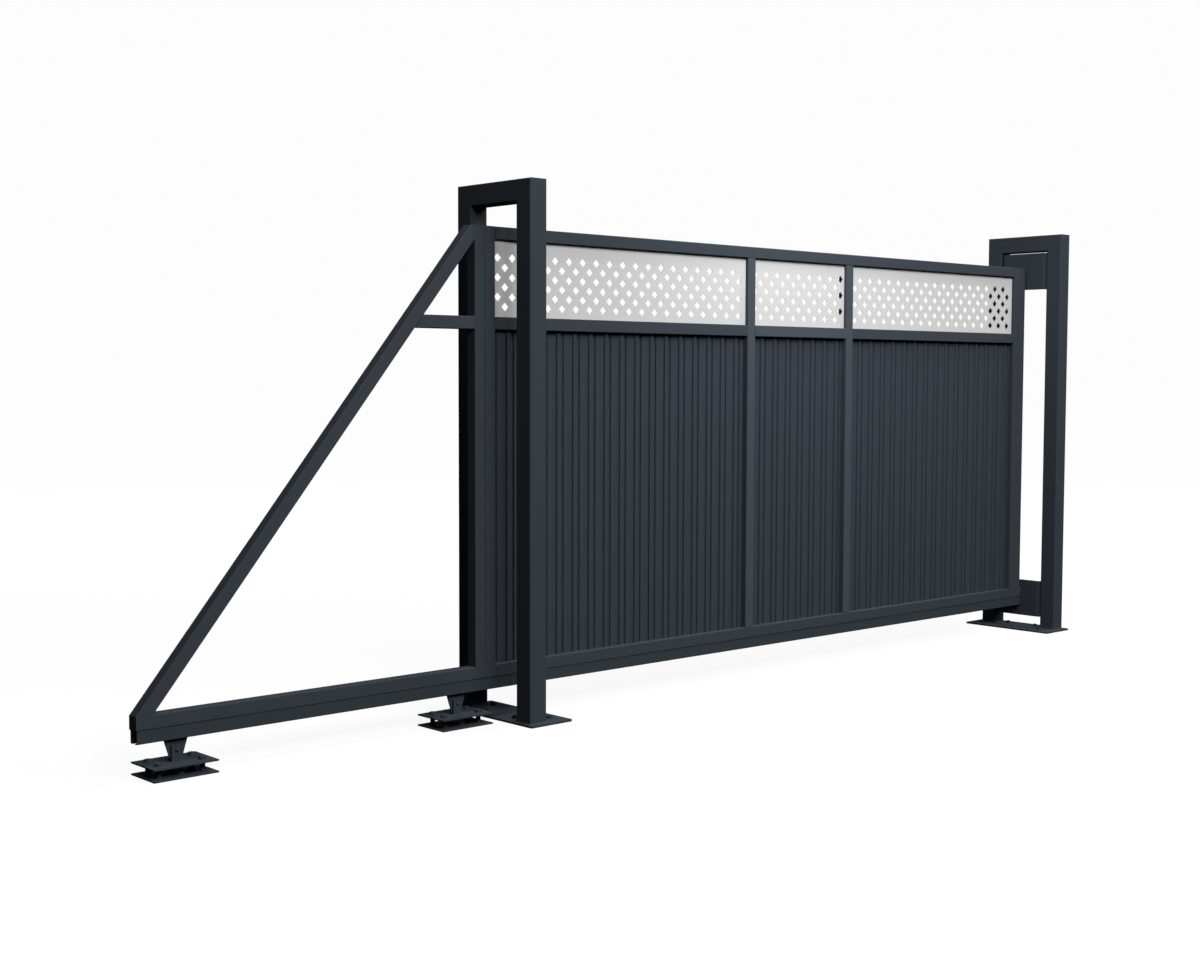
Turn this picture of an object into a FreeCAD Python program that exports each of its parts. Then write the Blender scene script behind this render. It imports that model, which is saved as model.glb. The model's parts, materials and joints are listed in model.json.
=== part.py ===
import FreeCAD, Part
import math
import os

from FreeCAD import Vector

# A self-supporting sliding driveway gate: a leaf on a cantilever rail that rides on two ground
# carriages, passes through a guide portal and closes on a receiving portal.
# Millimetres. X runs along the gate to the receiving portal, Y away from the road, Z up.
# The origin is the centre of the guide portal's base plate, on its underside.

# Portals
clear_opening = 4248.0
portal_height = 2510.0
head_clearance = 106.0
portal_passage = 336.0
post_size = 100.0
post_wall = 4.0
post_corner = 6.0
base_thick = 10.0
base_corner = 10.0
base_end_margin = 37.0
base_outer_margin = 22.0
base_inner_margin = 130.0
anchor_hole_radius = 9.0
wide_anchor_spacing = 424.0
wide_anchor_offset = 69.0
post_anchor_spacing = 200.0

# Catchers between the receiving posts
catcher_height = 230.0
catcher_thick = 5.0
catcher_bend = 32.0
catcher_flange = 60.0
lower_catcher_bottom = 80.0
upper_catcher_gap = 10.0

# Carriages
carriage_to_posts = 226.0
carriage_to_tail = 184.0
plate_length = 290.0
plate_width = 200.0
plate_thick = 6.0
plate_corner = 4.0
levelling_gap = 42.0
stud_spacing_x = 195.0
stud_spacing_y = 90.0
sleeve_radius = 11.5
stud_radius = 6.0
stud_rise = 6.5
stud_clearance = 0.3
ground_anchor_spacing = 80.0
cheek_width = 48.0
cheek_height = 66.0
cheek_thick = 10.0
cheek_gap = 0.5
pivot_offset = 2.5
pivot_over_plate = 48.0
pivot_radius = 6.0
pivot_head_radius = 8.5
pivot_head_rise = 4.0
pivot_crown_radius = 5.0
pivot_crown_rise = 3.0
pivot_nut_flats = 18.0
pivot_nut_thick = 8.0
pin_clearance = 0.05
rocker_thick = 6.0
rocker_foot = 51.0
rocker_ground_gap = 4.0
rocker_shoulder = 108.0
rocker_corner = 2.0
rocker_head_cover = 14.0
axle_over_pivot = 73.2
axle_spacing = 66.0
axle_radius = 7.0
roller_radius = 22.5
roller_width = 15.0
roller_side_gap = 2.0
seat_gap = 0.3

# Leaf
rail_width = 55.0
rail_height = 55.0
rail_wall = 4.0
rail_slot = 20.0
rail_corner = 4.0
rail_setback = 4.0
tube_size = 60.0
tube_wall = 3.0
tube_corner = 5.0
cap_thick = 3.0
closing_gap = 9.0
beam_overrun = 14.0
leaf_overlap = 130.0
tail_length = 1708.0
left_bay = 1728.0
middle_bay = 763.0
band_height = 356.0
brace_landing = 22.0

# Sheets in the leaf
rib_pitch = 104.2
rib_foot = 42.0
rib_crown = 27.0
rib_depth = 8.0
rib_start = 17.8
ribbed_thick = 1.0
ribbed_plane = 2.0
hole_side = 30.4
hole_pitch_x = 88.8
hole_pitch_z = 91.0
hole_start_x = 24.0
hole_start_z = 47.4
hole_rows = 6
perforated_thick = 2.0
perforated_plane = -11.0

# Places that follow from the sizes
portal_width = portal_passage + 2 * post_size
base_length = portal_width + 2 * base_end_margin
base_width = base_outer_margin + post_size + base_inner_margin
guide_post_x = -base_width / 2 + base_outer_margin + post_size / 2
receiving_post_x = guide_post_x + clear_opening + post_size
receiving_base_x = receiving_post_x + guide_post_x
post_y = (portal_passage + post_size) / 2
catcher_face_x = receiving_post_x - post_size / 2
upper_catcher_bottom = portal_height - post_size - upper_catcher_gap - catcher_height

top_plate_bottom = plate_thick + levelling_gap
top_plate_top = top_plate_bottom + plate_thick
pivot_z = top_plate_top + pivot_over_plate
axle_z = pivot_z + axle_over_pivot
rail_ceiling = axle_z + roller_radius + seat_gap
cheek_inner_y = rocker_thick / 2 + cheek_gap

rail_bottom = rail_ceiling + rail_wall - rail_height
rail_top = rail_bottom + rail_height
beam_top = rail_top + tube_size
leaf_top = portal_height - post_size - head_clearance
beam_right = catcher_face_x - closing_gap
leaf_right = beam_right - beam_overrun
guide_left_face = guide_post_x - post_size / 2
leaf_left = guide_left_face - leaf_overlap
beam_left = leaf_left - tail_length
gate_carriage_x = guide_left_face - carriage_to_posts
tail_carriage_x = beam_left + carriage_to_tail
infill_left = leaf_left + 2 * tube_size
infill_right = leaf_right - 2 * tube_size
left_mullion_x = infill_left + left_bay
right_mullion_x = left_mullion_x + tube_size + middle_bay
band_bottom = leaf_top - tube_size - band_height
mid_rail_bottom = band_bottom - tube_size
bays = {
    "left": (infill_left, left_mullion_x),
    "middle": (left_mullion_x + tube_size, right_mullion_x),
    "right": (right_mullion_x + tube_size, infill_right),
}


def rounded_loop(points, radius, base, across, up):
    """Closed outline through the points, each corner turned by an arc of the radius."""
    corners = [base + across * u + up * v for u, v in points]
    edges = []
    starts = []
    for index, corner in enumerate(corners):
        back = (corners[index - 1] - corner).normalize()
        ahead = (corners[(index + 1) % len(corners)] - corner).normalize()
        half_angle = back.getAngle(ahead) / 2
        reach = radius / math.tan(half_angle)
        middle_reach = radius / math.sin(half_angle) - radius
        middle = corner + (back + ahead).normalize() * middle_reach
        starts.append((corner + back * reach, middle, corner + ahead * reach))
    for index, (start, middle, end) in enumerate(starts):
        previous_end = starts[index - 1][2]
        edges.append(Part.LineSegment(previous_end, start).toShape())
        edges.append(Part.Arc(start, middle, end).toShape())
    return Part.Wire(edges)


def sharp_loop(points, base, across, up):
    """Closed outline with straight corners."""
    corners = [base + across * u + up * v for u, v in points]
    return Part.makePolygon(corners + corners[:1])


def rectangle(width, height):
    """Corner points of a rectangle about its centre."""
    return [
        (-width / 2, -height / 2),
        (width / 2, -height / 2),
        (width / 2, height / 2),
        (-width / 2, height / 2),
    ]


def prism(wires, sweep):
    """Solid swept from the first outline, with the others as holes."""
    face = Part.makeFace(wires, "Part::FaceMakerBullseye")
    return face.extrude(sweep)


def square_tube(size, wall, corner, start, end, across, up):
    """Hollow square tube from start to end, with rounded corners outside."""
    outer = rounded_loop(rectangle(size, size), corner, start, across, up)
    bore = size - 2 * wall
    inner = sharp_loop(rectangle(bore, bore), start, across, up)
    return prism([outer, inner], end - start)


def end_cap(start, inward, across, up):
    """Plate welded into the open end of a leaf tube, flush with it."""
    bore = tube_size - 2 * tube_wall
    outline = sharp_loop(rectangle(bore, bore), start, across, up)
    return prism([outline], inward * cap_thick)


def upright_tube(x, y, bottom, top, size, wall, corner):
    """Vertical square tube."""
    start = Vector(x, y, bottom)
    end = Vector(x, y, top)
    return square_tube(size, wall, corner, start, end, Vector(1, 0, 0), Vector(0, 1, 0))


def level_tube(left, right, z):
    """Leaf tube along X, with its axis at height z."""
    start = Vector(left, 0, z)
    end = Vector(right, 0, z)
    return square_tube(tube_size, tube_wall, tube_corner, start, end, Vector(0, 1, 0), Vector(0, 0, 1))


def bottom_tube():
    """Tube on top of the rail, closed at both ends."""
    z = rail_top + tube_size / 2
    tube = level_tube(beam_left, beam_right, z)
    caps = [
        end_cap(Vector(x, 0, z), Vector(inward, 0, 0), Vector(0, 1, 0), Vector(0, 0, 1))
        for x, inward in ((beam_left, 1), (beam_right, -1))
    ]
    return tube.fuse(caps).removeSplitter()


def end_upright(x):
    """Upright of the leaf's edge, closed at the top."""
    tube = upright_tube(x, 0, beam_top, leaf_top, tube_size, tube_wall, tube_corner)
    cap = end_cap(Vector(x, 0, leaf_top), Vector(0, 0, -1), Vector(1, 0, 0), Vector(0, 1, 0))
    return tube.fuse(cap).removeSplitter()


def box_between(low, high):
    """Box given by two opposite corners."""
    return Part.makeBox(high.x - low.x, high.y - low.y, high.z - low.z, low)


def flat_plate(x, bottom, length, width, thick, corner):
    """Horizontal plate with rounded corners, centred on the gate's line."""
    outline = rounded_loop(
        rectangle(length, width), corner, Vector(x, 0, bottom), Vector(1, 0, 0), Vector(0, 1, 0)
    )
    return prism([outline], Vector(0, 0, thick))


def drilled(shape, centres, radius, depth, axis):
    """Shape with a round hole from each centre along the axis."""
    holes = [Part.makeCylinder(radius, depth, centre, axis) for centre in centres]
    return shape.cut(Part.makeCompound(holes))


# Portals

def mitre_wedge(post_x, side):
    """Half-space block outside the 45 degree joint between a post and the head."""
    reach = portal_width
    outer_y = side * portal_width / 2
    inner_y = outer_y - side * reach
    points = [(outer_y, portal_height), (inner_y, portal_height), (inner_y, portal_height - reach)]
    base = Vector(post_x - post_size, 0, 0)
    loop = sharp_loop(points, base, Vector(0, 1, 0), Vector(0, 0, 1))
    return prism([loop], Vector(2 * post_size, 0, 0))


def portal_post(post_x, side):
    """Post whose top is mitred to the head."""
    tube = upright_tube(
        post_x, side * post_y, base_thick, portal_height, post_size, post_wall, post_corner
    )
    return tube.cut(mitre_wedge(post_x, side))


def portal_head(post_x):
    """Tube across the top, mitred to both posts."""
    height = portal_height - post_size / 2
    start = Vector(post_x, -portal_width / 2, height)
    end = Vector(post_x, portal_width / 2, height)
    tube = square_tube(post_size, post_wall, post_corner, start, end, Vector(1, 0, 0), Vector(0, 0, 1))
    for side in (-1, 1):
        tube = tube.common(mitre_wedge(post_x, side))
    return tube


def portal_base(base_x, opening_side):
    """Base plate with two anchor holes in its wide margin and two between the posts."""
    plate = flat_plate(base_x, 0, base_width, base_length, base_thick, base_corner)
    post_line = base_x + opening_side * guide_post_x
    wide_line = post_line + opening_side * (post_size / 2 + wide_anchor_offset)
    centres = []
    for side in (-1, 1):
        centres.append(Vector(wide_line, side * wide_anchor_spacing / 2, 0))
        centres.append(Vector(post_line, side * post_anchor_spacing / 2, 0))
    return drilled(plate, centres, anchor_hole_radius, base_thick, Vector(0, 0, 1))


def catcher(bottom):
    """Bent plate between the receiving posts: a flat web with rounded sides and two flanges."""
    half = portal_passage / 2
    inner_half = half - catcher_thick
    inner_x = catcher_face_x + catcher_thick
    back_x = catcher_face_x + catcher_flange
    top = bottom + catcher_height
    outer = box_between(Vector(catcher_face_x, -half, bottom), Vector(back_x, half, top))
    inner = box_between(Vector(inner_x, -inner_half, bottom), Vector(back_x, inner_half, top))
    outer = outer.makeFillet(catcher_bend, upright_edges_at(outer, catcher_face_x))
    inner = inner.makeFillet(catcher_bend - catcher_thick, upright_edges_at(inner, inner_x))
    return outer.cut(inner)


def upright_edges_at(shape, x):
    """Vertical edges of a box that lie on the plane of constant x."""
    return [
        edge for edge in shape.Edges
        if abs(edge.BoundBox.XMin - x) < seat_gap
        and abs(edge.BoundBox.XMax - x) < seat_gap
        and edge.BoundBox.ZLength > edge.BoundBox.YLength
    ]


# Carriages

def ground_plate(x):
    """Lower plate, held down by two anchors on the gate's cross line."""
    plate = flat_plate(x, 0, plate_length, plate_width, plate_thick, plate_corner)
    centres = [Vector(x, side * ground_anchor_spacing / 2, 0) for side in (-1, 1)]
    return drilled(plate, centres, anchor_hole_radius, plate_thick, Vector(0, 0, 1))


def stud_centres(x, z):
    """Axes of the four levelling studs."""
    return [
        Vector(x + along * stud_spacing_x / 2, side * stud_spacing_y / 2, z)
        for along in (-1, 1)
        for side in (-1, 1)
    ]


def levelling_studs(x):
    """Four shouldered studs that stand on the ground plate and carry the top plate."""
    length = levelling_gap + plate_thick + stud_rise
    studs = []
    for centre in stud_centres(x, plate_thick):
        profile = [
            (0, 0),
            (sleeve_radius, 0),
            (sleeve_radius, levelling_gap),
            (stud_radius, levelling_gap),
            (stud_radius, length),
            (0, length),
        ]
        loop = sharp_loop(profile, centre, Vector(1, 0, 0), Vector(0, 0, 1))
        studs.append(Part.Face(loop).revolve(centre, Vector(0, 0, 1), 360))
    return Part.makeCompound(studs)


def top_plate(x):
    """Upper plate that drops over the studs onto their shoulders."""
    plate = flat_plate(x, top_plate_bottom, plate_length, plate_width, plate_thick, plate_corner)
    radius = stud_radius + stud_clearance
    return drilled(plate, stud_centres(x, top_plate_bottom), radius, plate_thick, Vector(0, 0, 1))


def cheeks(x):
    """Two plates on the top plate, with the rocker between them."""
    plates = []
    for y in (-cheek_inner_y - cheek_thick, cheek_inner_y):
        base = Vector(x, y, top_plate_top + cheek_height / 2)
        loop = sharp_loop(rectangle(cheek_width, cheek_height), base, Vector(1, 0, 0), Vector(0, 0, 1))
        plate = prism([loop], Vector(0, cheek_thick, 0))
        bore = pivot_radius + pin_clearance
        plates.append(drilled(plate, [Vector(x, y, pivot_z)], bore, cheek_thick, Vector(0, 1, 0)))
    return Part.makeCompound(plates)


def hexagonal_nut(flats, thick, centre, axis):
    """Plain nut whose near face is centred on the point."""
    corner_count = 6
    radius = flats / math.sqrt(3)
    angles = [2 * math.pi * index / corner_count for index in range(corner_count)]
    points = [(radius * math.cos(angle), radius * math.sin(angle)) for angle in angles]
    loop = sharp_loop(points, centre, Vector(0, 0, 1), Vector(1, 0, 0))
    return prism([loop], axis * thick)


def crowned_head(centre, axis):
    """Round bolt head that tapers to its crown."""
    rim = Part.makeCylinder(pivot_head_radius, pivot_head_rise, centre, axis)
    shoulder = centre + axis * pivot_head_rise
    crown = Part.makeCone(pivot_head_radius, pivot_crown_radius, pivot_crown_rise, shoulder, axis)
    return rim.fuse(crown)


def pivot_bolt(x):
    """Bolt through both cheeks and the rocker, with its head to the front and a nut behind."""
    half = cheek_inner_y + cheek_thick
    front = Vector(x, -half, pivot_z)
    back = Vector(x, half, pivot_z)
    shank = Part.makeCylinder(pivot_radius, 2 * half, front, Vector(0, 1, 0))
    head = crowned_head(front, Vector(0, -1, 0))
    nut = hexagonal_nut(pivot_nut_flats, pivot_nut_thick, back, Vector(0, 1, 0))
    return shank.fuse([head, nut]).removeSplitter()


def rocker(x):
    """Plate that tapers down to the pivot and carries the two roller axles inside the rail."""
    foot_z = top_plate_top + rocker_ground_gap
    head_z = axle_z + rocker_head_cover
    points = [
        (-rocker_foot / 2, foot_z),
        (rocker_foot / 2, foot_z),
        (rocker_shoulder / 2, rail_bottom),
        (rocker_shoulder / 2, head_z),
        (-rocker_shoulder / 2, head_z),
        (-rocker_shoulder / 2, rail_bottom),
    ]
    base = Vector(x, -rocker_thick / 2, 0)
    loop = rounded_loop(points, rocker_corner, base, Vector(1, 0, 0), Vector(0, 0, 1))
    plate = prism([loop], Vector(0, rocker_thick, 0))
    pivot = [Vector(x, -rocker_thick / 2, pivot_z)]
    plate = drilled(plate, pivot, pivot_radius + pin_clearance, rocker_thick, Vector(0, 1, 0))
    axles = [Vector(x + side * axle_spacing / 2, -rocker_thick / 2, axle_z) for side in (-1, 1)]
    return drilled(plate, axles, axle_radius + pin_clearance, rocker_thick, Vector(0, 1, 0))


def rollers(x):
    """Two axles through the rocker, each with a roller on both sides."""
    near = rocker_thick / 2 + roller_side_gap
    far = near + roller_width
    sets = []
    for side in (-1, 1):
        centre = Vector(x + side * axle_spacing / 2, 0, axle_z)
        half = [
            (axle_radius, near),
            (roller_radius, near),
            (roller_radius, far),
            (0, far),
        ]
        mirrored = [(radius, -y) for radius, y in reversed(half)]
        loop = sharp_loop(mirrored + half, centre, Vector(1, 0, 0), Vector(0, 1, 0))
        sets.append(Part.Face(loop).revolve(centre, Vector(0, 1, 0), 360))
    return Part.makeCompound(sets)


# Leaf

def cantilever_rail():
    """C-shaped rail, open along its underside, in which the rollers run."""
    start = Vector(beam_left + rail_setback, 0, rail_bottom)
    length = beam_right - start.x
    half = rail_width / 2
    bore_half = half - rail_wall
    centre = start + Vector(0, 0, rail_height / 2)
    across = Vector(0, 1, 0)
    up = Vector(0, 0, 1)
    outer = rounded_loop(rectangle(rail_width, rail_height), rail_corner, centre, across, up)
    body = prism([outer], Vector(length, 0, 0))
    bore = box_between(
        Vector(start.x, -bore_half, rail_bottom + rail_wall), Vector(beam_right, bore_half, rail_ceiling)
    )
    slot = box_between(
        Vector(start.x, -rail_slot / 2, rail_bottom), Vector(beam_right, rail_slot / 2, rail_ceiling)
    )
    return body.cut(bore).cut(slot)


def diagonal_brace():
    """Tube from the beam's tail end up to the top of the leaf, cut level and upright at its ends."""
    foot = Vector(beam_left, 0, beam_top)
    head = Vector(leaf_left - brace_landing, 0, leaf_top)
    along = (head - foot).normalize()
    down = Vector(along.z, 0, -along.x)
    axis = foot + down * tube_size / 2
    reach = along * 2 * tube_size
    span = head - foot
    tube = square_tube(
        tube_size, tube_wall, tube_corner, axis - reach, axis + span + reach, Vector(0, 1, 0), down
    )
    room = box_between(Vector(beam_left, -tube_size, beam_top), Vector(leaf_left, tube_size, leaf_top))
    return tube.common(room)


def tail_bar():
    """Short tube from the brace to the left upright, at the height of the middle rail."""
    z = mid_rail_bottom + tube_size / 2
    foot = Vector(beam_left, 0, beam_top)
    head = Vector(leaf_left - brace_landing, 0, leaf_top)
    along = (head - foot).normalize()
    down = Vector(along.z, 0, -along.x)
    corner = foot + down * tube_size
    far = Vector(leaf_left, 0, 0)
    points = [
        (corner.x - along.x * tube_size, corner.z - along.z * tube_size),
        (far.x, beam_top - tube_size),
        (far.x, leaf_top),
        (corner.x + along.x * (head - foot).Length, corner.z + along.z * (head - foot).Length),
    ]
    loop = sharp_loop(points, Vector(0, -tube_size, 0), Vector(1, 0, 0), Vector(0, 0, 1))
    right_of_brace = prism([loop], Vector(0, 2 * tube_size, 0))
    return level_tube(beam_left, leaf_left, z).common(right_of_brace)


def ribbed_profile():
    """Front line of the ribbed sheet along the whole leaf, ribs standing towards the road."""
    flank = (rib_foot - rib_crown) / 2
    foot_x = infill_left - rib_start
    line = [(foot_x, ribbed_plane)]
    while foot_x < infill_right:
        line.append((foot_x + flank, ribbed_plane - rib_depth))
        line.append((foot_x + flank + rib_crown, ribbed_plane - rib_depth))
        line.append((foot_x + rib_foot, ribbed_plane))
        foot_x += rib_pitch
        line.append((foot_x, ribbed_plane))
    return line


def ribbed_sheet(left, right):
    """Ribbed infill of one bay, from the beam to the middle rail."""
    front = ribbed_profile()
    back = [(x, y + ribbed_thick) for x, y in reversed(front)]
    base = Vector(0, 0, beam_top)
    loop = sharp_loop(front + back, base, Vector(1, 0, 0), Vector(0, 1, 0))
    height = mid_rail_bottom - beam_top
    sheet = prism([loop], Vector(0, 0, height))
    room = box_between(Vector(left, -tube_size, beam_top), Vector(right, tube_size, mid_rail_bottom))
    return sheet.common(room)


def perforated_sheet(left, right):
    """Band sheet of one bay, with square holes on their corners in staggered rows."""
    base = Vector(0, perforated_plane, 0)
    across = Vector(1, 0, 0)
    up = Vector(0, 0, 1)
    top = leaf_top - tube_size
    outline = [(left, band_bottom), (right, band_bottom), (right, top), (left, top)]
    sheet = Part.Face(sharp_loop(outline, base, across, up))
    reach = hole_side / math.sqrt(2)
    holes = []
    for row in range(hole_rows):
        z = band_bottom + hole_start_z + row * hole_pitch_z / 2
        x = infill_left + hole_start_x - (row + 1) % 2 * hole_pitch_x / 2
        while x - reach < right:
            if x + reach > left:
                points = [(x - reach, z), (x, z - reach), (x + reach, z), (x, z + reach)]
                holes.append(Part.Face(sharp_loop(points, base, across, up)))
            x += hole_pitch_x
    pierced = sheet.cut(Part.makeCompound(holes))
    return pierced.Faces[0].extrude(Vector(0, perforated_thick, 0))


def portal_pieces():
    """Both portals and the catchers."""
    pieces = {}
    for name, post_x, base_x, opening_side in (
        ("guide", guide_post_x, 0.0, 1),
        ("receiving", receiving_post_x, receiving_base_x, -1),
    ):
        pieces[name + "_base_plate"] = portal_base(base_x, opening_side)
        pieces[name + "_front_post"] = portal_post(post_x, -1)
        pieces[name + "_back_post"] = portal_post(post_x, 1)
        pieces[name + "_head"] = portal_head(post_x)
    pieces["upper_catcher"] = catcher(upper_catcher_bottom)
    pieces["lower_catcher"] = catcher(lower_catcher_bottom)
    return pieces


def carriage_pieces():
    """Both carriages."""
    pieces = {}
    for name, x in (("tail_carriage", tail_carriage_x), ("gate_carriage", gate_carriage_x)):
        pivot_x = x + pivot_offset
        pieces[name + "_ground_plate"] = ground_plate(x)
        pieces[name + "_levelling_studs"] = levelling_studs(x)
        pieces[name + "_top_plate"] = top_plate(x)
        pieces[name + "_cheeks"] = cheeks(pivot_x)
        pieces[name + "_pivot_bolt"] = pivot_bolt(pivot_x)
        pieces[name + "_rocker"] = rocker(pivot_x)
        pieces[name + "_rollers"] = rollers(pivot_x)
    return pieces


def leaf_pieces():
    """The sliding leaf with its counterbalance tail."""
    half = tube_size / 2
    pieces = {
        "cantilever_rail": cantilever_rail(),
        "bottom_tube": bottom_tube(),
        "left_outer_upright": end_upright(leaf_left + half),
        "left_inner_upright": end_upright(leaf_left + tube_size + half),
        "right_inner_upright": end_upright(leaf_right - tube_size - half),
        "right_outer_upright": end_upright(leaf_right - half),
        "top_rail": level_tube(infill_left, infill_right, leaf_top - half),
        "diagonal_brace": diagonal_brace(),
        "tail_bar": tail_bar(),
    }
    for name, x in (("left_mullion", left_mullion_x), ("right_mullion", right_mullion_x)):
        pieces[name] = upright_tube(
            x + half, 0, beam_top, leaf_top - tube_size, tube_size, tube_wall, tube_corner
        )
    for name, (left, right) in bays.items():
        pieces["mid_rail_" + name + "_bay"] = level_tube(left, right, mid_rail_bottom + half)
        pieces["ribbed_sheet_" + name + "_bay"] = ribbed_sheet(left, right)
        pieces["perforated_sheet_" + name + "_bay"] = perforated_sheet(left, right)
    return pieces


os.makedirs("parts", exist_ok=True)
for group in (portal_pieces(), carriage_pieces(), leaf_pieces()):
    for node, shape in group.items():
        shape.exportStep("parts/" + node + ".step")
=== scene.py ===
import json
import math

import bmesh
import bpy
from mathutils import Matrix, Vector


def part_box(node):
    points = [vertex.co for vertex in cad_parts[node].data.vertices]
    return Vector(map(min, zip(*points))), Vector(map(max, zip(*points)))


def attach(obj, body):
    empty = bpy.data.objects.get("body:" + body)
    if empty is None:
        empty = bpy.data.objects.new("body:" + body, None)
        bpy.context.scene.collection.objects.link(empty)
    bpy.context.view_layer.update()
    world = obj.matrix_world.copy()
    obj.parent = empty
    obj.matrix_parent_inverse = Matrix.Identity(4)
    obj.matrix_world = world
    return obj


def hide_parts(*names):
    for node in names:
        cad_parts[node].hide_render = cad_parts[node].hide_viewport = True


bl_info = {
    "name": "Cantilever sliding gate",
    "version": (1, 0, 0),
    "blender": (4, 5, 0),
    "location": "3D View > Sidebar > Gate",
    "description": "Finishes, fasteners and studio for a self-supporting sliding driveway gate",
    "category": "Object",
}

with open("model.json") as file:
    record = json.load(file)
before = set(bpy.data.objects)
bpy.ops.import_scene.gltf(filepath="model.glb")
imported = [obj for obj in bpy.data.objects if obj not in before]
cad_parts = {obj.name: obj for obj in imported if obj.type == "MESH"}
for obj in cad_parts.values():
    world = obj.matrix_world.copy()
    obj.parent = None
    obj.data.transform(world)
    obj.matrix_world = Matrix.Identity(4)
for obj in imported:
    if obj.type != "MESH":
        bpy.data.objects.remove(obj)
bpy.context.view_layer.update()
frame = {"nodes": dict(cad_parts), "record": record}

MILLIMETRE = 0.001

# Anthracite powder coat in its slightly different tones, and the light grey band
PORTAL_PAINT = (0.040, 0.048, 0.059)
FRAME_PAINT = (0.042, 0.050, 0.060)
RAIL_PAINT = (0.036, 0.045, 0.052)
SHEET_PAINT = (0.039, 0.047, 0.057)
# Painted highlight: a lighter copy of the leaf paint on the mullions and the middle mid rail, standing in
# for the sheen of light on the middle of the leaf
PAINTED_HIGHLIGHT = (0.055, 0.065, 0.079)
BAND_PAINT = (0.520, 0.520, 0.520)

# Powder coat: slow drift, fine speckle and orange peel, with scales in cycles and depths in metres
DRIFT_SCALE = 1.3
SPECKLE_SCALE = 260.0
PEEL_SCALE = 620.0
PEEL_DEPTH = 0.00005
DRIFT_SHARE = 0.6
TONE_SPREAD = 0.05
DRIFT_ROUGHNESS = 0.06
SPECKLE_ROUGHNESS = 0.05
SHEET_EXTRA_ROUGHNESS = 0.08

# Brush paint on the fasteners, worn in spots
WORN_PAINT = (0.11, 0.12, 0.13)
WORN_SCALE = 140.0
WORN_EDGE = 0.64
WORN_SOFTNESS = 0.12
WORN_SHARE = 0.35
WORN_POLISH = -0.12
BRUSH_SCALE = 420.0
BRUSH_DEPTH = 0.0001

# Turned steel of the rollers, with lathe lines that run round the axles
STEEL_DARK = (0.30, 0.31, 0.32)
STEEL_LIGHT = (0.42, 0.43, 0.44)
LATHE_SCALE = 60.0
LATHE_STRETCH = (0.4, 30.0, 0.4)
STEEL_ROUGHNESS = 0.3
LATHE_ROUGHNESS = 0.15

# Fillet welds: their ripple, and how far the narrow upper end of a fillet still stands off the post
RIPPLE_SCALE = 330.0
RIPPLE_DEPTH = 0.0006
WELD_ROUGHNESS = 0.45
WELD_HEAD = 0.1

# A nut's turn on its bolt follows from its place along and across the gate, in radians a metre.
# Its chamfer and the radius of the bolt's end are parts of its width
NUT_TURN_ALONG = 3.0
NUT_TURN_ACROSS = 2.0
NUT_CHAMFER = 0.035
BOLT_RADIUS = 0.28
BOLT_END = 0.004
BOLT_CHAMFER = 0.001
BOLT_SIDES = 20

# The studio's soft boxes stand round this point, in metres, each with its direction from the road
# towards the opening and its height, in degrees
STUDIO_MIDDLE = Vector((1.5, 0.0, 1.2))
STUDIO_REACH = 12.0
BOX_SIDE = 3.0
BOX_DIRECTIONS = {
    "left_low": (-30.0, 28.0),
    "right_low": (20.0, 28.0),
    "front": (-5.0, 45.0),
    "right_high": (70.0, 62.0),
    "back": (160.0, 14.0),
}

# Place, aim and size of the two boxes that hang over the gate, in metres
HANGING_BOXES = {
    "top": ((1.0, 0.0, 6.5), (1.0, 0.0, 0.0), (9.0, 2.0)),
    "side": ((1.6, -1.0, 3.4), (4.3, 0.0, 1.3), (1.2, 1.2)),
}

# The floor fades into the backdrop from this distance on, in metres. The tones are those seen,
# and its paint is what lets the gate's shadow show
BACKDROP_TONE = 0.98
FLOOR_HALF = 60.0
FLOOR_FADE = 9.0
FLOOR_TONE = 0.90
FLOOR_PAINT = 0.10

# The photograph's viewpoint, in metres and radians, and its lens, in millimetres
CAMERA_PLACE = (-4.9971, -6.0836, 1.6158)
CAMERA_YAW = 0.829345
CAMERA_PITCH = 0.0633566
CAMERA_ROLL = 0.002661
CAMERA_LENS = 50.0
CAMERA_SENSOR = 36.0
CAMERA_SIGHT = 200.0


class Value:
    """A shader number that adds Math nodes when it is used in an expression."""

    def __init__(self, finish, socket):
        self.finish = finish
        self.socket = socket

    def _math(self, operation, first, second):
        made = self.finish.node("ShaderNodeMath", {"operation": operation}, {0: first, 1: second})
        return Value(self.finish, made.outputs[0])

    def __add__(self, other):
        return self._math("ADD", self, other)

    def __sub__(self, other):
        return self._math("SUBTRACT", self, other)

    def __rsub__(self, other):
        return self._math("SUBTRACT", other, self)

    def __mul__(self, other):
        return self._math("MULTIPLY", self, other)

    def __truediv__(self, other):
        return self._math("DIVIDE", self, other)

    def or_else(self, other):
        """The larger of two numbers."""
        return self._math("MAXIMUM", self, other)

    def above(self, edge, softness):
        """0 below the edge, 1 above it, with a soft step between."""
        scaled = (self - edge) / softness + 0.5
        made = self.finish.node("ShaderNodeClamp", {}, {"Value": scaled})
        return Value(self.finish, made.outputs[0])


class Nodes:
    """A node tree that is built through one method."""

    def __init__(self, tree):
        self.tree = tree
        self.tree.nodes.clear()

    def node(self, kind, settings=None, inputs=None):
        """A node of this kind, with its settings first and then its sockets' values or links."""
        made = self.tree.nodes.new(kind)
        for key, setting in (settings or {}).items():
            setattr(made, key, setting)
        for key, given in (inputs or {}).items():
            self.feed(made.inputs[key], given)
        return made

    def feed(self, socket, given):
        """Links a socket to a value or an output, or sets it."""
        if isinstance(given, Value):
            given = given.socket
        if isinstance(given, bpy.types.NodeSocket):
            self.tree.links.new(given, socket)
        else:
            socket.default_value = given


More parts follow.
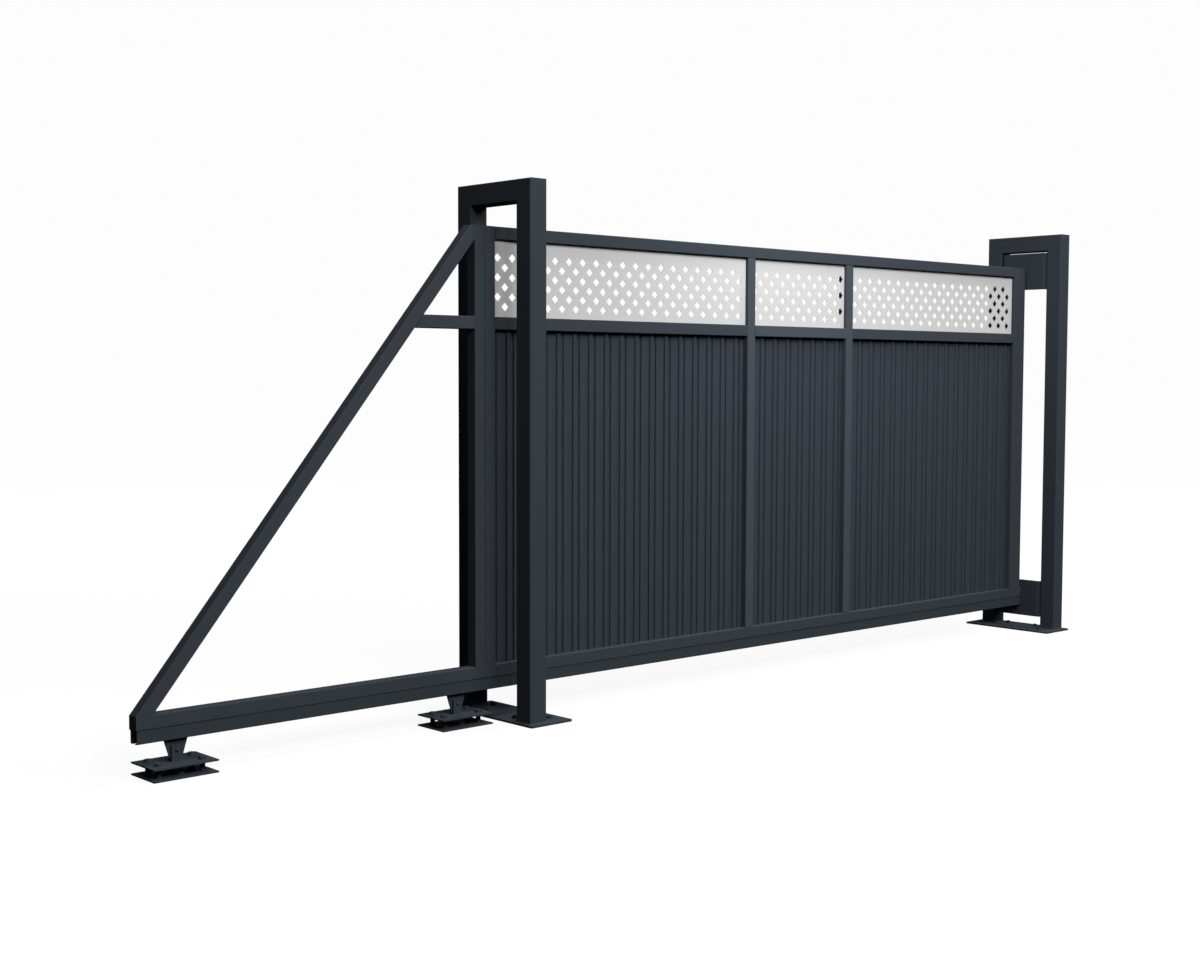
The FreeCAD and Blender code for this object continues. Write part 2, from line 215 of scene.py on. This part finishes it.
class Finish(Nodes):
    """One material with a plain shader."""

    def __init__(self, name):
        self.material = bpy.data.materials.new(name)
        self.material.use_nodes = True
        super().__init__(self.material.node_tree)
        self.shader = self.node("ShaderNodeBsdfPrincipled")
        self.node("ShaderNodeOutputMaterial", {}, {"Surface": self.shader.outputs[0]})

    def place(self):
        """The point on the object, in metres."""
        return self.node("ShaderNodeTexCoord").outputs["Object"]

    def noise(self, scale, detail=2.0, stretch=(1.0, 1.0, 1.0)):
        """Soft noise from 0 to 1, with its scale in cycles a metre."""
        mapped = self.node("ShaderNodeMapping", {}, {"Vector": self.place(), "Scale": stretch})
        made = self.node(
            "ShaderNodeTexNoise",
            {},
            {"Vector": mapped.outputs[0], "Scale": scale, "Detail": detail, "Roughness": 0.5},
        )
        return Value(self, made.outputs[0])

    def blend(self, factor, first, second):
        """Colour between two colours."""
        made = self.node(
            "ShaderNodeMix",
            {"data_type": "RGBA", "blend_type": "MIX"},
            {0: factor, 6: first, 7: second},
        )
        return made.outputs[2]

    def bump(self, height, depth):
        """Normal from a height field with this depth in metres."""
        made = self.node("ShaderNodeBump", {}, {"Height": height, "Distance": depth, "Strength": 1.0})
        return made.outputs[0]

    def set(self, **inputs):
        """Feeds the shader's own sockets, named with underscores for spaces."""
        for key, given in inputs.items():
            self.feed(self.shader.inputs[key.replace("_", " ")], given)


def rgba(colour, gain=1.0):
    """Colour with full alpha, made lighter or darker by the gain."""
    return (*(min(1.0, channel * gain) for channel in colour), 1.0)


def grey(tone):
    """Neutral colour of this tone, with full alpha."""
    return rgba((tone, tone, tone))


def powder_coat(name, colour, roughness):
    """Powder-coated steel with fine orange peel and a slight drift of its tone."""
    finish = Finish(name)
    drift = finish.noise(DRIFT_SCALE, 3.0)
    speckle = finish.noise(SPECKLE_SCALE, 1.0)
    mixed = drift * DRIFT_SHARE + speckle * (1.0 - DRIFT_SHARE)
    finish.set(
        Base_Color=finish.blend(mixed, rgba(colour, 1.0 - TONE_SPREAD), rgba(colour, 1.0 + TONE_SPREAD)),
        Roughness=drift * DRIFT_ROUGHNESS + speckle * SPECKLE_ROUGHNESS + (roughness - SPECKLE_ROUGHNESS),
        Normal=finish.bump(finish.noise(PEEL_SCALE, 1.0), PEEL_DEPTH),
        Specular_IOR_Level=0.0,
    )
    return finish.material


def painted_steel(name, colour, roughness):
    """Brush-painted fasteners, a little uneven."""
    finish = Finish(name)
    worn = finish.noise(WORN_SCALE, 3.0).above(WORN_EDGE, WORN_SOFTNESS)
    finish.set(
        Base_Color=finish.blend(worn * WORN_SHARE, rgba(colour), rgba(WORN_PAINT)),
        Roughness=worn * WORN_POLISH + roughness,
        Normal=finish.bump(finish.noise(BRUSH_SCALE), BRUSH_DEPTH),
        Specular_IOR_Level=0.0,
    )
    return finish.material


def turned_steel(name):
    """Turned steel of the rollers, with fine lathe lines round their axles."""
    finish = Finish(name)
    lines = finish.noise(LATHE_SCALE, stretch=LATHE_STRETCH)
    finish.set(
        Base_Color=finish.blend(lines, rgba(STEEL_DARK), rgba(STEEL_LIGHT)),
        Roughness=lines * LATHE_ROUGHNESS + STEEL_ROUGHNESS,
        Metallic=1.0,
    )
    return finish.material


def weld_bead(name, colour, roughness):
    """Painted weld with the ripple of its passes."""
    finish = Finish(name)
    ripple = finish.noise(RIPPLE_SCALE)
    finish.set(
        Base_Color=finish.blend(ripple, rgba(colour, 0.9), rgba(colour, 1.05)),
        Roughness=roughness,
        Normal=finish.bump(ripple, RIPPLE_DEPTH),
        Specular_IOR_Level=0.0,
    )
    return finish.material


def node_names(*endings):
    """CAD nodes whose names end so."""
    return [name for name in frame["nodes"] if name.endswith(endings)]


def coat(names, material):
    """Gives these CAD nodes one finish."""
    for name in names:
        mesh = frame["nodes"][name].data
        mesh.materials.clear()
        mesh.materials.append(material)


def add_piece(name, shape, material, body):
    """Makes an object of a bmesh, with its place in the mesh, and lets it ride on a body."""
    bmesh.ops.recalc_face_normals(shape, faces=shape.faces)
    mesh = bpy.data.meshes.new(name)
    shape.to_mesh(mesh)
    shape.free()
    mesh.materials.append(material)
    made = bpy.data.objects.new(name, mesh)
    bpy.context.scene.collection.objects.link(made)
    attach(made, body)
    return made


def add_drum(shape, centre, radius, height, sides, turn=0.0, chamfer=0.0):
    """Upright prism or cylinder that stands at the centre, with its upper rim chamfered."""
    turned = Matrix.Translation(centre + Vector((0, 0, height / 2))) @ Matrix.Rotation(turn, 4, "Z")
    made = bmesh.ops.create_cone(
        shape,
        cap_ends=True,
        segments=sides,
        radius1=radius,
        radius2=radius,
        depth=height,
        matrix=turned,
    )
    if chamfer:
        top = centre.z + height - chamfer / 2
        rim = {
            edge
            for corner in made["verts"]
            if corner.co.z > top
            for edge in corner.link_edges
            if all(end.co.z > top for end in edge.verts)
        }
        bmesh.ops.bevel(
            shape,
            geom=list(rim),
            offset=chamfer,
            segments=2,
            profile=0.5,
            affect="EDGES",
            material=-1,
        )


def add_nut(shape, centre, flats, height):
    """Hexagonal nut that stands at the centre."""
    turn = NUT_TURN_ALONG * centre.x + NUT_TURN_ACROSS * centre.y
    add_drum(shape, centre, flats / math.sqrt(3), height, 6, turn, flats * NUT_CHAMFER)


def paint_property(name, default, description):
    """A paint that the panel offers."""
    return bpy.props.FloatVectorProperty(
        name=name, description=description, subtype="COLOR", default=default
    )


def length_property(name, default, description):
    """A length that the panel offers, in metres."""
    return bpy.props.FloatProperty(name=name, description=description, default=default, unit="LENGTH")


def power_property(name, default, description):
    """A lamp's power that the panel offers, in watts."""
    return bpy.props.FloatProperty(name=name, description=description, default=default, unit="POWER")


class FinishColours(bpy.types.PropertyGroup):
    """Paint colours of the gate."""

    portal: paint_property("Portals", PORTAL_PAINT, "Paint of posts and heads")
    leaf: paint_property("Leaf frame", FRAME_PAINT, "Paint of the leaf's tubes")
    rail: paint_property("Rail", RAIL_PAINT, "Paint of the cantilever rail")
    # Painted highlight: lighter paint for the mullions and the middle mid rail
    inner: paint_property("Inner frame", PAINTED_HIGHLIGHT, "Paint of the mullions")
    sheet: paint_property("Ribbed sheet", SHEET_PAINT, "Coating of the ribbed infill")
    band: paint_property("Perforated band", BAND_PAINT, "Paint of the perforated band")
    roughness: bpy.props.FloatProperty(
        name="Roughness", description="Roughness of the powder coat", default=0.55, min=0.05, max=1.0
    )


class RibSizes(bpy.types.PropertyGroup):
    """Sizes of the folds in the ribbed sheets, along the gate and across it."""

    pitch: length_property("Pitch", 0.1042, "Distance from rib to rib")
    start: length_property("Start", -0.1318, "Place of one rib's foot along the gate")
    plane: length_property("Plane", 0.002, "Front plane of the flats between the ribs")
    rise: length_property("Steep flank", 0.0025, "Run of a steep flank")
    crown: length_property("Crown", 0.022, "Width of the crown")
    depth: length_property("Crown depth", 0.008, "Crown before the plane")
    slope: length_property("Slope", 0.0155, "Run from the crown into the groove")
    floor: length_property("Groove", 0.009, "Width of the groove's floor")
    groove: length_property("Groove depth", 0.0077, "Groove behind the plane")
    fold: length_property("Fold", 0.0008, "Width of a rounded fold")
    thickness: length_property("Thickness", 0.001, "Thickness of the sheet")


class HoleSizes(bpy.types.PropertyGroup):
    """Sizes of the square holes that stand on their corners in the perforated sheets."""

    side: length_property("Side", 0.0304, "Side of a square hole")
    pitch: length_property("Pitch", 0.08887, "Distance from hole to hole in a row")
    start: length_property("Start", 0.0285, "First hole from the band's left end")
    rows: bpy.props.IntProperty(name="Rows", description="Rows of holes", default=6, min=1)
    row_pitch: length_property("Row pitch", 0.0455, "Distance from row to row")
    row_start: length_property("First row", 0.0474, "Lowest row over the sheet's foot")
    margin: length_property("Margin", 0.015, "Least way from a hole's middle to a sheet's end")
    rim: length_property("Rim", 0.001, "Least metal beside a hole")


class FastenerSizes(bpy.types.PropertyGroup):
    """Sizes of the nuts, anchors and welds."""

    anchor_flats: length_property("Anchor nut", 0.028, "Width across flats of an anchor nut")
    anchor_height: length_property("Anchor nut height", 0.012, "Height of an anchor nut")
    stud_radius: length_property("Levelling stud", 0.0115, "Radius of a stud's sleeve")
    stud_flats: length_property("Levelling nut", 0.028, "Width across flats of a levelling nut")
    stud_height: length_property("Levelling nut height", 0.013, "Height of a levelling nut")
    bead: length_property("Weld bead", 0.0035, "Leg of the fillet welds")


class StudioLight(bpy.types.PropertyGroup):
    """Strengths of the studio's lamps."""

    left_low: power_property("Left low", 489.0, "Soft box low before the tail")
    right_low: power_property("Right low", 399.0, "Soft box low before the opening")
    front: power_property("Front", 669.0, "Soft box before the gate")
    right_high: power_property("Right high", 906.0, "Soft box high to the right")
    back: power_property("Back", 420.0, "Soft box behind the gate")
    top: power_property("Top", 105.0, "Wide soft box above the gate")
    side: power_property("Side", 27.0, "Small box that faces the receiving portal")
    ambient: bpy.props.FloatProperty(
        name="Ambient", description="Light from all round", default=0.02, min=0.0
    )


class GATE_OT_finishes(bpy.types.Operator):
    """Coat the CAD nodes"""

    bl_idname = "gate.finishes"
    bl_label = "Finishes"

    def execute(self, context):
        colours = context.scene.gate_colours
        rough = colours.roughness
        leaf = powder_coat("leaf_powder_coat", tuple(colours.leaf), rough)
        rail = powder_coat("rail_powder_coat", tuple(colours.rail), rough)
        inner = powder_coat("inner_powder_coat", tuple(colours.inner), rough)
        portal = powder_coat("portal_powder_coat", tuple(colours.portal), rough)
        sheet = powder_coat("ribbed_sheet_coating", tuple(colours.sheet), rough + SHEET_EXTRA_ROUGHNESS)
        band = powder_coat("perforated_band_coat", tuple(colours.band), rough)
        bolts = painted_steel("painted_fasteners", tuple(colours.portal), rough)
        steel = turned_steel("roller_steel")
        coat(frame["nodes"], leaf)
        coat(node_names("_post", "_head", "_catcher", "_plate", "_cheeks", "_rocker"), portal)
        coat(["cantilever_rail"], rail)
        # Painted highlight: the lighter paint goes on the mullions and the middle mid rail
        coat(["left_mullion", "right_mullion", "mid_rail_middle_bay"], inner)
        coat(node_names("_studs", "_bolt"), bolts)
        coat(node_names("_rollers"), steel)
        coat([name for name in frame["nodes"] if name.startswith("ribbed_sheet")], sheet)
        coat([name for name in frame["nodes"] if name.startswith("perforated_sheet")], band)
        return {"FINISHED"}


def rib_line(sizes, left, right):
    """Front line of a ribbed sheet, from before its left end to beyond its right one."""
    crown = sizes.plane - sizes.depth
    groove = sizes.plane + sizes.groove
    first = math.floor((left - sizes.start) / sizes.pitch)
    last = math.ceil((right - sizes.start) / sizes.pitch)
    line = []
    for rib in range(first, last + 1):
        x = sizes.start + rib * sizes.pitch
        line.append((x, sizes.plane))
        x += sizes.rise
        line.append((x, crown))
        x += sizes.crown
        line.append((x, crown))
        x += sizes.slope
        line.append((x, groove))
        x += sizes.floor
        line.append((x, groove))
        x += sizes.rise
        line.append((x, sizes.plane))
    return line


class GATE_OT_ribbed_sheets(bpy.types.Operator):
    """Fold the ribbed sheets, with a groove beside each rib"""

    bl_idname = "gate.ribbed_sheets"
    bl_label = "Ribbed sheets"

    def execute(self, context):
        sizes = context.scene.gate_ribs
        coating = bpy.data.materials["ribbed_sheet_coating"]
        for bay in ("left", "middle", "right"):
            node = "ribbed_sheet_" + bay + "_bay"
            low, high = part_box(node)
            shape = bmesh.new()
            line = [shape.verts.new((x, y, low.z)) for x, y in rib_line(sizes, low.x, high.x)]
            edges = [shape.edges.new(ends) for ends in zip(line, line[1:])]
            drawn = bmesh.ops.extrude_edge_only(shape, edges=edges)["geom"]
            raised = [part for part in drawn if isinstance(part, bmesh.types.BMVert)]
            bmesh.ops.translate(shape, verts=raised, vec=(0, 0, high.z - low.z))
            for end, outward in ((low.x, -1), (high.x, 1)):
                bmesh.ops.bisect_plane(
                    shape,
                    geom=[*shape.verts, *shape.edges, *shape.faces],
                    plane_co=(end, 0, 0),
                    plane_no=(outward, 0, 0),
                    clear_outer=True,
                )
            folds = [edge for edge in shape.edges if len(edge.link_faces) == 2]
            bmesh.ops.bevel(
                shape,
                geom=folds,
                offset=sizes.fold,
                segments=2,
                profile=0.5,
                affect="EDGES",
                material=-1,
            )
            bmesh.ops.recalc_face_normals(shape, faces=shape.faces)
            bmesh.ops.solidify(shape, geom=list(shape.faces), thickness=-sizes.thickness)
            made = add_piece("folded_sheet_" + bay + "_bay", shape, coating, "leaf")
            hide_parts(node)
        return {"FINISHED"}


def hole_middles(sizes, low, high, band_left):
    """Middles of the holes of one sheet, in rows that are set off by half a pitch."""
    middles = []
    for row in range(sizes.rows):
        z = low.z + sizes.row_start + row * sizes.row_pitch
        x = band_left + sizes.start - (row + 1) % 2 * sizes.pitch / 2
        while x < high.x - sizes.margin:
            if x > low.x + sizes.margin:
                middles.append(Vector((x, low.y, z)))
            x += sizes.pitch
    return middles


class GATE_OT_perforated_sheets(bpy.types.Operator):
    """Cut the square holes of the perforated sheets"""

    bl_idname = "gate.perforated_sheets"
    bl_label = "Perforated sheets"

    def execute(self, context):
        sizes = context.scene.gate_holes
        paint = bpy.data.materials["perforated_band_coat"]
        band_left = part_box("perforated_sheet_left_bay")[0].x
        upright = Matrix.Rotation(math.pi / 2, 4, "X")
        for bay in ("left", "middle", "right"):
            node = "perforated_sheet_" + bay + "_bay"
            low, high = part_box(node)
            shape = bmesh.new()
            corners = ((low.x, low.z), (high.x, low.z), (high.x, high.z), (low.x, high.z))
            outline = [shape.verts.new((x, low.y, z)) for x, z in corners]
            for index, corner in enumerate(outline):
                shape.edges.new((outline[index - 1], corner))
            for middle in hole_middles(sizes, low, high, band_left):
                hole = bmesh.ops.create_circle(
                    shape,
                    segments=4,
                    radius=sizes.side / math.sqrt(2),
                    matrix=Matrix.Translation(middle) @ upright,
                )
                for corner in hole["verts"]:
                    corner.co.x = min(max(corner.co.x, low.x + sizes.rim), high.x - sizes.rim)
            bmesh.ops.triangle_fill(shape, use_beauty=True, edges=list(shape.edges), normal=(0, -1, 0))
            drawn = bmesh.ops.extrude_face_region(shape, geom=list(shape.faces))["geom"]
            behind = [part for part in drawn if isinstance(part, bmesh.types.BMVert)]
            bmesh.ops.translate(shape, verts=behind, vec=(0, high.y - low.y, 0))
            made = add_piece("pierced_sheet_" + bay + "_bay", shape, paint, "leaf")
            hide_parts(node)
        return {"FINISHED"}


def anchor_places(owner, plate):
    """Places of the anchors that the record states for one piece, on top of its plate."""
    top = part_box(plate)[1].z
    places = []
    for mount in frame["record"]["mounts"]:
        if mount["kind"] == "bolt_pattern" and mount["name"].startswith(owner):
            reach = mount["dims"]["spacing_y_mm"] * MILLIMETRE / 2
            places += [Vector((mount["pos_m"][0], side * reach, top)) for side in (-1, 1)]
    return places


class GATE_OT_portal_anchors(bpy.types.Operator):
    """Add the anchor nuts and bolt ends on the portals' base plates"""

    bl_idname = "gate.portal_anchors"
    bl_label = "Portal anchors"

    def execute(self, context):
        sizes = context.scene.gate_fasteners
        shape = bmesh.new()
        places = anchor_places("guide", "guide_base_plate")
        places += anchor_places("receiving", "receiving_base_plate")
        for place in places:
            add_nut(shape, place, sizes.anchor_flats, sizes.anchor_height)
            end = place + Vector((0, 0, sizes.anchor_height))
            radius = sizes.anchor_flats * BOLT_RADIUS
            add_drum(shape, end, radius, BOLT_END, BOLT_SIDES, chamfer=BOLT_CHAMFER)
        paint = bpy.data.materials["painted_fasteners"]
        add_piece("portal_anchor_nuts", shape, paint, "base")
        return {"FINISHED"}


class GATE_OT_carriage_fasteners(bpy.types.Operator):
    """Add the levelling nuts and ground anchors of the carriages"""

    bl_idname = "gate.carriage_fasteners"
    bl_label = "Carriage fasteners"

    def execute(self, context):
        sizes = context.scene.gate_fasteners
        paint = bpy.data.materials["painted_fasteners"]
        for carriage in ("tail_carriage", "gate_carriage"):
            shape = bmesh.new()
            low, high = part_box(carriage + "_levelling_studs")
            radius = sizes.stud_radius
            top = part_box(carriage + "_top_plate")[1].z
            for x in (low.x + radius, high.x - radius):
                for y in (low.y + radius, high.y - radius):
                    place = Vector((x, y, top))
                    add_nut(shape, place, sizes.stud_flats, sizes.stud_height)
            for place in anchor_places(carriage, carriage + "_ground_plate"):
                add_nut(shape, place, sizes.anchor_flats, sizes.anchor_height)
            add_piece(carriage + "_nuts", shape, paint, "base")
        return {"FINISHED"}


class GATE_OT_welds(bpy.types.Operator):
    """Add the fillet welds round the posts' feet"""

    bl_idname = "gate.welds"
    bl_label = "Welds"

    def execute(self, context):
        bead = context.scene.gate_fasteners.bead
        paint = weld_bead("painted_weld", PORTAL_PAINT, WELD_ROUGHNESS)
        shape = bmesh.new()
        for portal in ("guide", "receiving"):
            for post in ("front_post", "back_post"):
                low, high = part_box(portal + "_" + post)
                self.skirt(shape, low, high, bead)
        add_piece("post_foot_welds", shape, paint, "base")
        return {"FINISHED"}

    @staticmethod
    def skirt(shape, low, high, bead):
        """Low frustum round a post's foot, which shows as a fillet weld."""
        width = high.x - low.x
        middle = Vector(((low.x + high.x) / 2, (low.y + high.y) / 2, low.z + bead / 2))
        foot = (width / 2 + bead) * math.sqrt(2)
        head = (width / 2 + bead * WELD_HEAD) * math.sqrt(2)
        bmesh.ops.create_cone(
            shape,
            cap_ends=True,
            segments=4,
            radius1=foot,
            radius2=head,
            depth=bead,
            matrix=Matrix.Translation(middle) @ Matrix.Rotation(math.pi / 4, 4, "Z"),
        )


def soft_box(name, place, aim, size, power):
    """Rectangular lamp at a place, turned towards a point."""
    lamp = bpy.data.lights.new(name, "AREA")
    lamp.shape = "RECTANGLE"
    lamp.size, lamp.size_y = size
    lamp.energy = power
    made = bpy.data.objects.new(name, lamp)
    bpy.context.scene.collection.objects.link(made)
    made.location = place
    made.rotation_mode = "QUATERNION"
    made.rotation_quaternion = (Vector(aim) - Vector(place)).to_track_quat("-Z", "Y")
    made.visible_camera = False


def studio_direction(turn, height):
    """Direction from the studio's middle, with its turn from the road and its height in degrees."""
    turn, height = math.radians(turn), math.radians(height)
    return Vector(
        (math.cos(height) * math.sin(turn), -math.cos(height) * math.cos(turn), math.sin(height))
    )


def seen_and_lit(tree, seen, lit):
    """Strength for sight, mirrors and glass, and another one for the light on the object."""
    path = tree.node("ShaderNodeLightPath").outputs
    camera, glossy, transmission = (
        Value(tree, path[ray]) for ray in ("Is Camera Ray", "Is Glossy Ray", "Is Transmission Ray")
    )
    eye = camera.or_else(glossy).or_else(transmission)
    return eye * seen + (1.0 - eye) * lit


class GATE_OT_studio(bpy.types.Operator):
    """Add the floor, the soft lamps and the camera"""

    bl_idname = "gate.studio"
    bl_label = "Studio"

    def execute(self, context):
        lamps = context.scene.gate_lamps
        self.world(lamps)
        self.floor()
        for key, (turn, height) in BOX_DIRECTIONS.items():
            place = STUDIO_MIDDLE + studio_direction(turn, height) * STUDIO_REACH
            soft_box(key + "_box", place, STUDIO_MIDDLE, (BOX_SIDE, BOX_SIDE), getattr(lamps, key))
        for key, (place, aim, size) in HANGING_BOXES.items():
            soft_box(key + "_box", place, aim, size, getattr(lamps, key))
        self.camera()
        context.scene.view_settings.view_transform = "Standard"
        return {"FINISHED"}

    @staticmethod
    def world(lamps):
        """Backdrop that is white to the eye and hardly lights the gate."""
        world = bpy.data.worlds.new("studio_white")
        world.use_nodes = True
        bpy.context.scene.world = world
        sky = Nodes(world.node_tree)
        strength = seen_and_lit(sky, BACKDROP_TONE, lamps.ambient)
        backdrop = sky.node(
            "ShaderNodeBackground", {}, {"Color": (1.0, 1.0, 1.0, 1.0), "Strength": strength}
        )
        sky.node("ShaderNodeOutputWorld", {}, {"Surface": backdrop.outputs[0]})

    @staticmethod
    def floor():
        """White floor that keeps a faint shadow and fades into the backdrop."""
        shape = bmesh.new()
        bmesh.ops.create_grid(shape, x_segments=1, y_segments=1, size=FLOOR_HALF)
        mesh = bpy.data.meshes.new("floor")
        shape.to_mesh(mesh)
        shape.free()
        made = bpy.data.objects.new("floor", mesh)
        bpy.context.scene.collection.objects.link(made)
        finish = Finish("floor_white")
        eye = seen_and_lit(finish, 1.0, 0.0)
        reach = finish.node("ShaderNodeVectorMath", {"operation": "LENGTH"}, {0: finish.place()})
        distant = Value(finish, reach.outputs["Value"]).above(FLOOR_FADE, FLOOR_FADE)
        glow = finish.blend(distant, grey(FLOOR_TONE), grey(BACKDROP_TONE))
        finish.set(
            Base_Color=finish.blend(eye, grey(0.0), grey(FLOOR_PAINT)),
            Roughness=1.0,
            Specular_IOR_Level=0.0,
            Emission_Color=finish.blend(eye, grey(0.0), glow),
            Emission_Strength=1.0,
        )
        mesh.materials.append(finish.material)

    @staticmethod
    def camera():
        """Camera at the photograph's viewpoint."""
        lens = bpy.data.cameras.new("photo_camera")
        lens.lens = CAMERA_LENS
        lens.sensor_width = CAMERA_SENSOR
        lens.clip_end = CAMERA_SIGHT
        made = bpy.data.objects.new("photo_camera", lens)
        bpy.context.scene.collection.objects.link(made)
        ahead = Vector(
            (
                math.cos(CAMERA_YAW) * math.cos(CAMERA_PITCH),
                math.sin(CAMERA_YAW) * math.cos(CAMERA_PITCH),
                -math.sin(CAMERA_PITCH),
            )
        )
        level = Vector((math.sin(CAMERA_YAW), -math.cos(CAMERA_YAW), 0.0))
        upright = level.cross(ahead)
        right = level * math.cos(CAMERA_ROLL) + upright * math.sin(CAMERA_ROLL)
        up = right.cross(ahead)
        turned = Matrix((right, up, -ahead)).transposed()
        made.matrix_world = Matrix.Translation(CAMERA_PLACE) @ turned.to_4x4()
        bpy.context.scene.camera = made


OPERATORS = (
    GATE_OT_finishes,
    GATE_OT_ribbed_sheets,
    GATE_OT_perforated_sheets,
    GATE_OT_portal_anchors,
    GATE_OT_carriage_fasteners,
    GATE_OT_welds,
    GATE_OT_studio,
)


class GATE_PT_panel(bpy.types.Panel):
    """Sizes, colours and pieces of the gate"""

    bl_idname = "GATE_PT_panel"
    bl_label = "Sliding gate"
    bl_space_type = "VIEW_3D"
    bl_region_type = "UI"
    bl_category = "Gate"

    def draw(self, context):
        scene = context.scene
        groups = ("gate_colours", "gate_ribs", "gate_holes", "gate_fasteners", "gate_lamps")
        for group in (getattr(scene, name) for name in groups):
            box = self.layout.box()
            for key in group.__annotations__:
                box.prop(group, key)
        for operator in OPERATORS:
            self.layout.operator(operator.bl_idname)


CLASSES = (FinishColours, RibSizes, HoleSizes, FastenerSizes, StudioLight, *OPERATORS, GATE_PT_panel)


def register():
    """Makes the classes and the scene's sizes known."""
    for each in CLASSES:
        bpy.utils.register_class(each)
    bpy.types.Scene.gate_colours = bpy.props.PointerProperty(type=FinishColours)
    bpy.types.Scene.gate_ribs = bpy.props.PointerProperty(type=RibSizes)
    bpy.types.Scene.gate_holes = bpy.props.PointerProperty(type=HoleSizes)
    bpy.types.Scene.gate_fasteners = bpy.props.PointerProperty(type=FastenerSizes)
    bpy.types.Scene.gate_lamps = bpy.props.PointerProperty(type=StudioLight)


def unregister():
    """Takes them away again."""
    del bpy.types.Scene.gate_lamps
    del bpy.types.Scene.gate_fasteners
    del bpy.types.Scene.gate_holes
    del bpy.types.Scene.gate_ribs
    del bpy.types.Scene.gate_colours
    for each in reversed(CLASSES):
        bpy.utils.unregister_class(each)


def main():
    """Builds the gate's looks."""
    register()
    bpy.ops.gate.finishes()
    bpy.ops.gate.ribbed_sheets()
    bpy.ops.gate.perforated_sheets()
    bpy.ops.gate.portal_anchors()
    bpy.ops.gate.carriage_fasteners()
    bpy.ops.gate.welds()
    bpy.ops.gate.studio()


if __name__ == "__main__":
    main()
